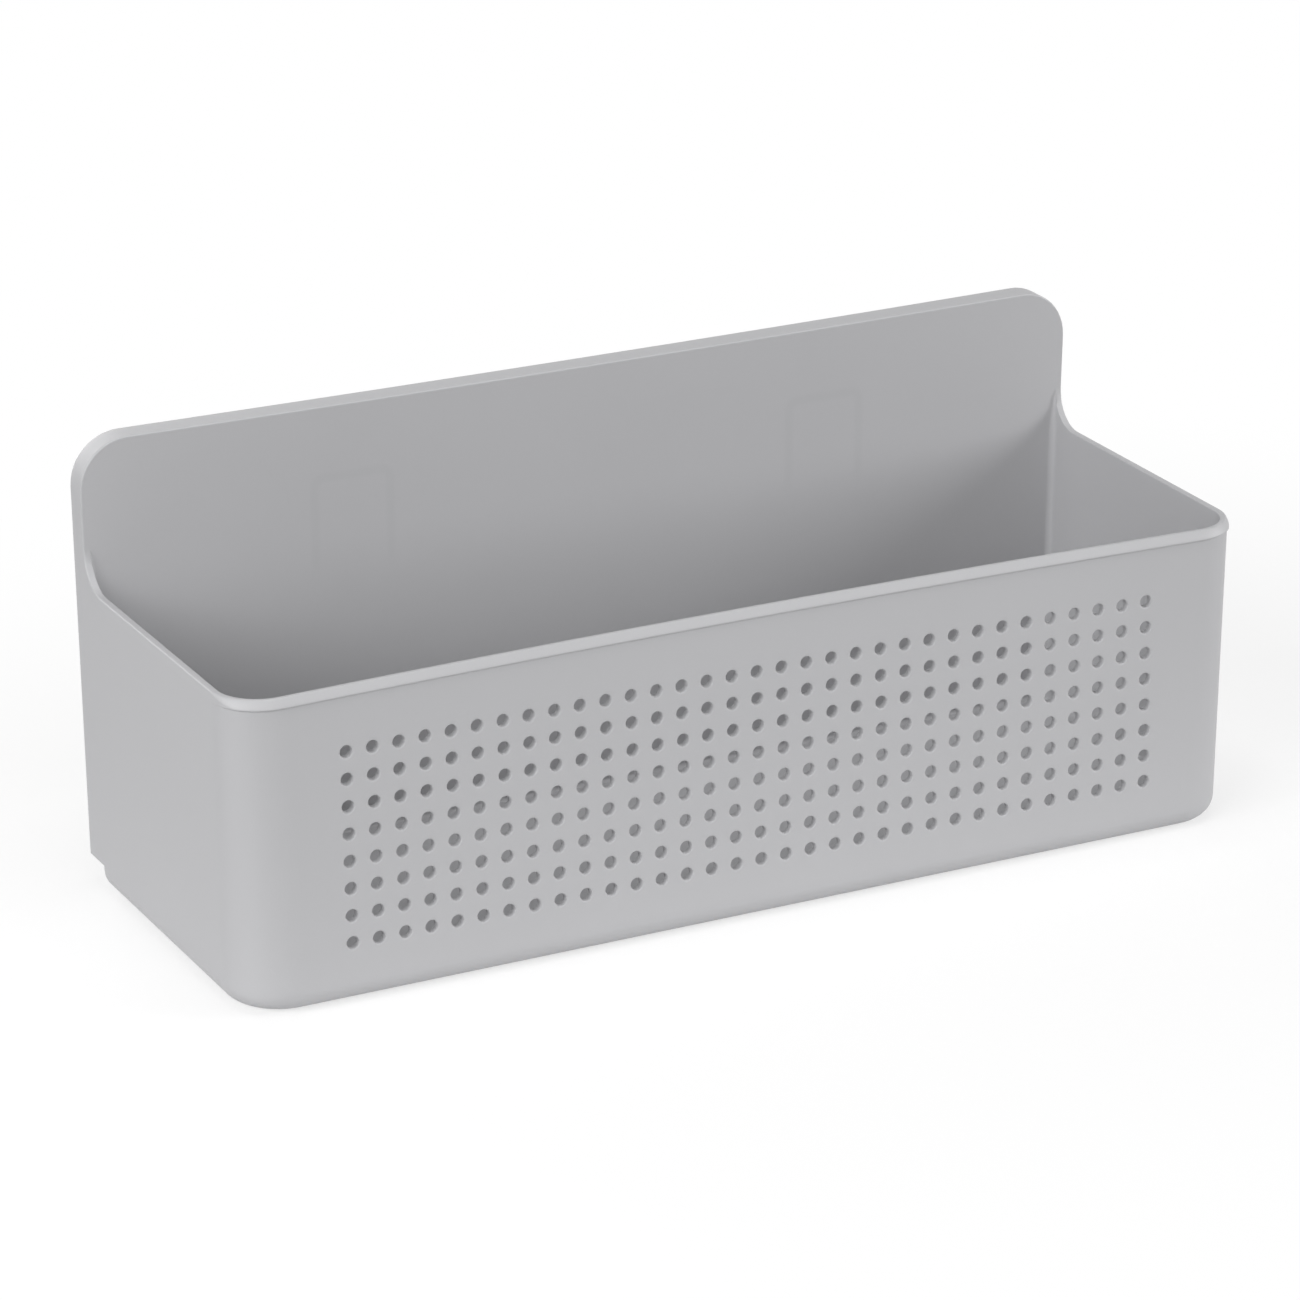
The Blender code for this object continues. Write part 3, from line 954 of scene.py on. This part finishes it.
def makeSlab(skin, outline, near, far, edge, centre, wear):
    # A plate with rounded edges, from its outline as a function of how far it is let in
    profile = []
    wears = (0.2, wear, wear, 0.1)  # round the edge, from the face to the side
    for (inset, depth), worn in zip(quarterRound(len(wears) - 1), wears):
        profile.append((edge * inset, near + edge * depth, worn))
    profile += [(inset, near + far - y, worn) for inset, y, worn in reversed(profile)]
    rings = [[(centre + x, y, z) for x, z in outline(inset)] for inset, y, worn in profile]
    skin.grid(rings, [worn for inset, y, worn in profile], closed=True)
    skin.face(rings[0])
    skin.face(rings[-1])


def makeHanger(label, centre, material):
    h = hangerSizes
    skin = Skin()
    base = roundedOutline(h["baseHalf"], h["baseFoot"], h["baseTop"], h["baseCorner"], h["baseSteps"])
    stem = roundedOutline(h["stemHalf"], h["stemFoot"], h["stemTop"], h["tongueCorner"], h["tongueSteps"])
    tongue = roundedOutline(h["tongueHalf"], h["tongueFoot"], h["tongueTop"], h["tongueCorner"],
                            h["tongueSteps"])
    makeSlab(skin, base, h["baseFront"], h["baseRear"], h["edgeRound"], centre, h["edgeWear"])
    makeSlab(skin, stem, h["tongueRear"] - h["stemSunk"], h["baseFront"] + h["stemSunk"], h["stemEdge"],
             centre, h["stemWear"])
    makeSlab(skin, tongue, h["tongueFront"], h["tongueRear"], h["edgeRound"], centre, h["edgeWear"])
    hanger = skin.finished("hangerPlate" + label.capitalize(), material)
    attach(hanger, "hanger_" + label)
    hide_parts("hanger_" + label)


def makePad(label, centre, material):
    # Die-cut foam: its sides swell a little between the skins
    p = padSizes
    outline = roundedOutline(p["half"], p["foot"], p["top"], p["corner"], p["steps"])
    skin = Skin()
    rings = []
    for i in range(p["layers"] + 1):
        t = i / p["layers"]
        inset = p["bulge"] * (1 - math.sin(math.pi * t))
        rings.append([(centre + x, lerp(p["front"], p["rear"], t), z) for x, z in outline(inset)])
    skin.grid(rings, closed=True)
    skin.face(rings[0])
    skin.face(rings[-1])
    pad = skin.finished("foamPad" + label.capitalize(), material)
    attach(pad, "hanger_" + label)
    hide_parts("adhesive_pad_" + label)


def makeLiner(label, centre, material):
    # The pad's own outline, with a pull tab below it
    p, q = padSizes, linerSizes

    def outline(inset):
        half, corner, tab = p["half"] - inset, p["corner"] - inset, q["tabHalf"] - inset
        foot, top = p["foot"] + inset, p["top"] - inset
        tabFoot, r = p["foot"] - q["tabLength"] + inset, q["tabCorner"] - inset
        root = q["tabRoot"] + inset
        steps, tabSteps, rootSteps = p["steps"], q["tabSteps"], q["rootSteps"]
        return (arc((-half + corner, foot + corner), corner, 180, 270, steps)
                + arc((-tab - root, foot - root), root, 90, 0, rootSteps)
                + arc((-tab + r, tabFoot + r), r, 180, 270, tabSteps)
                + arc((tab - r, tabFoot + r), r, 270, 360, tabSteps)
                + arc((tab + root, foot - root), root, 180, 90, rootSteps)
                + arc((half - corner, foot + corner), corner, 270, 360, steps)
                + arc((half - corner, top - corner), corner, 0, 90, steps)
                + arc((-half + corner, top - corner), corner, 90, 180, steps))

    skin = Skin()
    makeSlab(skin, outline, q["front"], q["rear"], q["edgeRound"], centre, q["edgeWear"])
    liner = skin.finished("linerFilm" + label.capitalize(), material)
    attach(liner, "liner_" + label)
    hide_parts("release_liner_" + label)


hangerFinish = {
    "colour": (0.72, 0.72, 0.70),
    "wornColour": (0.78, 0.78, 0.765),
    "roughness": 0.42,
    "grainSize": 0.0006,
    "grainDepth": 0.000015,
    "grainStrength": 0.5,
    "toneDrift": 0.015,
    "glossDrift": 0.1,
    "wear": 0.6,
    "wornGloss": -0.1,
}

foamFinish = {
    "colour": (0.78, 0.78, 0.76),
    # the colour in the cells' hollows: painted shade
    "hollowShade": (0.66, 0.66, 0.64),
    "cell": 0.00035,
    "hollow": (0.15, 0.6),  # shares of a cell's size between which its hollow ends
    "cloudScale": 120.0,
    "cloudTones": (0.94, 1.04),
    "roughness": 0.9,
    "depth": 0.00008,
    "strength": 0.8,
}


def makePadFoam():
    # Closed-cell foam: small round cells, with painted shade in their hollows
    f = foamFinish
    material, tree, shader, place = newMaterial("padFoam", {"Roughness": f["roughness"], "IOR": 1.45})
    cells = newNode(tree, "ShaderNodeTexVoronoi", {"Vector": place, "Scale": 1 / f["cell"]}, feature="F1")
    hollow = mapRange(tree, cells.outputs["Distance"], *f["hollow"], smooth=True)
    cloud = mapRange(tree, noise(tree, place, f["cloudScale"], 3.0), 0.3, 0.7, *f["cloudTones"])
    # The hollows get the painted shade colour, and the cells' rims the foam's own colour
    feed(tree, shader, {
        "Base Color": scaled(tree, mixColour(tree, hollow, f["hollowShade"], f["colour"]), cloud),
        "Normal": bump(tree, hollow, f["strength"], f["depth"]),
    })
    return material


linerFinish = {
    "colour": (0.78, 0.66, 0.38),
    "fibreColour": (0.70, 0.57, 0.31),
    "fibreScale": 1800.0,
    "fibreTurn": 0.6,  # how far the fibres lean, in radians
    "fibreStretch": 0.16,  # their scale lengthways
    "cloudScale": 70.0,
    "fibreShare": 0.6,  # of the mask, while the clouds have the rest
    "maskRange": (0.38, 0.66),
    "roughness": 0.34,
    "glossDrift": 0.2,
    "depth": 0.00002,
    "strength": 0.35,
}


def makeLinerFilm():
    # Coated paper: long fibres under a smooth silicone face
    f = linerFinish
    material, tree, shader, place = newMaterial("linerFilm", {
        "Roughness": f["roughness"], "IOR": 1.45, "Coat Weight": 0.25, "Coat Roughness": 0.25})
    stretched = newNode(tree, "ShaderNodeMapping", {
        "Vector": place, "Rotation": (0.0, f["fibreTurn"], 0.0), "Scale": (1.0, 1.0, f["fibreStretch"])})
    fibres = noise(tree, stretched.outputs[0], f["fibreScale"], 4.0, 0.6)
    cloud = noise(tree, place, f["cloudScale"], 3.0)
    mask = mathNode(tree, "MULTIPLY", cloud, 1 - f["fibreShare"])
    mask = mathNode(tree, "MULTIPLY_ADD", fibres, f["fibreShare"], mask)
    mask = mapRange(tree, mask, *f["maskRange"], smooth=True)
    gloss = mathNode(tree, "SUBTRACT", cloud, 0.5)
    feed(tree, shader, {
        "Base Color": mixColour(tree, mask, f["colour"], f["fibreColour"]),
        "Roughness": mathNode(tree, "MULTIPLY_ADD", gloss, f["glossDrift"], f["roughness"]),
        "Normal": bump(tree, fibres, f["strength"], f["depth"]),
    })
    return material


makeBin()
print("bin done")
hangerPlastic = mouldedPlastic("hangerPlastic", hangerFinish)
padFoam, linerFilm = makePadFoam(), makeLinerFilm()
for label, side in (("left", -1), ("right", 1)):
    middle = side * pocketSizes["spacing"] / 2
    makeHanger(label, middle, hangerPlastic)
    makePad(label, middle, padFoam)
    makeLiner(label, middle, linerFilm)
print("hangers, pads and liners done")

# Floor, light and camera
studio = {
    "nearFloor": 0.78,  # the floor's colour as it lights the object from below, at its foot
    "farFloor": 0.22,  # and further off
    "bounceReach": (0.0, 0.24),  # the distances from the foot between which that colour fades
    "shadowShare": 0.35,  # of the white seen round the object, what the lamps give, so that it can be shaded
    "shadowReach": (0.06, 0.3),  # the distances between which that share fades
    "floorHalf": 6.0,
    "floorDrop": 0.0002,
    "worldStrength": 0.14,
    "aim": (0.0, 0.0, 0.05),
    "lamps": {  # place, power in watts, width
        "frontLamp": ((-0.27, -1.52, 0.46), 7.4, 0.9),
        "leftFrontLamp": ((-1.2, -0.69, 0.85), 9.8, 0.9),
        "leftLamp": ((-1.47, -0.13, 0.68), 7.4, 0.6),
        "rightLamp": ((1.4, -0.68, 0.47), 12.4, 0.7),
        "topLamp": ((0.0, -0.1, 1.65), 7.4, 0.9),
        "rearLamp": ((-0.15, 1.55, 0.22), 16.0, 0.9),
    },
}
photoView = {
    "place": (-0.6808, -1.2551, 0.6299),  # from the middle of the front's foot
    "yaw": 27.18,
    "pitch": 20.99,
    "lens": 150.48,
    "sensor": 36.0,
    "reach": 50.0,
}


def areaLamp(name, place, power, size):
    lamp = bpy.data.lights.new(name, "AREA")
    lamp.shape = "SQUARE"
    lamp.size = size
    lamp.energy = power
    obj = newObject(name, lamp)
    obj.location = place
    obj.rotation_euler = (Vector(studio["aim"]) - Vector(place)).to_track_quat("-Z", "Y").to_euler()


def seenDirectly(tree):
    # 1 for rays from the camera, and for those seen in gloss or through glass
    path = newNode(tree, "ShaderNodeLightPath")
    seen = mathNode(tree, "MAXIMUM", path.outputs["Is Camera Ray"], path.outputs["Is Glossy Ray"])
    return mathNode(tree, "MAXIMUM", seen, path.outputs["Is Transmission Ray"])


def distanceFromFoot(tree):
    # How far a point of the floor is from the space that the object takes up on it
    place = newNode(tree, "ShaderNodeTexCoord").outputs["Object"]
    for operation, value in (("ABSOLUTE", None), ("SUBTRACT", (cadBox[1].x, cadBox[1].y, 0.0)),
                             ("MAXIMUM", (0.0, 0.0, 0.0)), ("LENGTH", None)):
        given = {0: place, 1: value} if value else {0: place}
        node = newNode(tree, "ShaderNodeVectorMath", given, operation=operation)
        place = node.outputs[0]
    return node.outputs["Value"]


def makeFloor():
    mesh = bpy.data.meshes.new("studioFloor")
    half = studio["floorHalf"]
    corners = [(-half, -half, 0), (half, -half, 0), (half, half, 0), (-half, half, 0)]
    mesh.from_pydata(corners, [], [(0, 1, 2, 3)])
    floor = newObject("studioFloor", mesh)
    floor.location.z = -studio["floorDrop"]
    material = bpy.data.materials.new("paleFloor")
    material.use_nodes = True
    tree = material.node_tree
    tree.nodes.remove(tree.nodes["Principled BSDF"])
    seen = seenDirectly(tree)
    beside = distanceFromFoot(tree)
    share = mapRange(tree, beside, *studio["shadowReach"], studio["shadowShare"], 0.0, smooth=True)
    own = mapRange(tree, beside, *studio["bounceReach"], studio["nearFloor"], studio["farFloor"])
    tone = mathNode(tree, "MULTIPLY_ADD", seen, mathNode(tree, "SUBTRACT", share, own), own)
    grey = newNode(tree, "ShaderNodeCombineColor", {0: tone, 1: tone, 2: tone})
    ground = newNode(tree, "ShaderNodeBsdfDiffuse", {"Color": grey.outputs[0]})
    strength = mathNode(tree, "MULTIPLY", seen, mathNode(tree, "SUBTRACT", 1.0, share))
    glow = newNode(tree, "ShaderNodeEmission", {"Strength": strength})
    both = newNode(tree, "ShaderNodeAddShader", {0: ground.outputs[0], 1: glow.outputs[0]})
    feed(tree, tree.nodes["Material Output"], {"Surface": both.outputs[0]})
    mesh.materials.append(material)


def makeWorld():
    world = bpy.data.worlds.new("studioWorld")
    bpy.context.scene.world = world
    world.use_nodes = True
    tree = world.node_tree
    strength = studio["worldStrength"]
    level = mathNode(tree, "MULTIPLY_ADD", seenDirectly(tree), 1 - strength, strength)
    feed(tree, tree.nodes["Background"], {"Color": (1, 1, 1, 1), "Strength": level})


def makeCamera():
    v = photoView
    data = bpy.data.cameras.new("photoCamera")
    data.sensor_width = v["sensor"]
    data.lens = v["lens"]
    data.clip_end = v["reach"]
    camera = newObject("photoCamera", data)
    x, y, z = v["place"]
    camera.location = (x, y - halfDepth, z)
    yaw, pitch = math.radians(v["yaw"]), math.radians(v["pitch"])
    ahead = Vector((math.sin(yaw) * math.cos(pitch), math.cos(yaw) * math.cos(pitch), -math.sin(pitch)))
    camera.rotation_euler = ahead.to_track_quat("-Z", "Y").to_euler()
    bpy.context.scene.camera = camera


makeFloor()
makeWorld()
for name, (place, power, size) in studio["lamps"].items():
    areaLamp(name, place, power, size)
makeCamera()
bpy.context.scene.view_settings.view_transform = "Standard"
print("studio done")
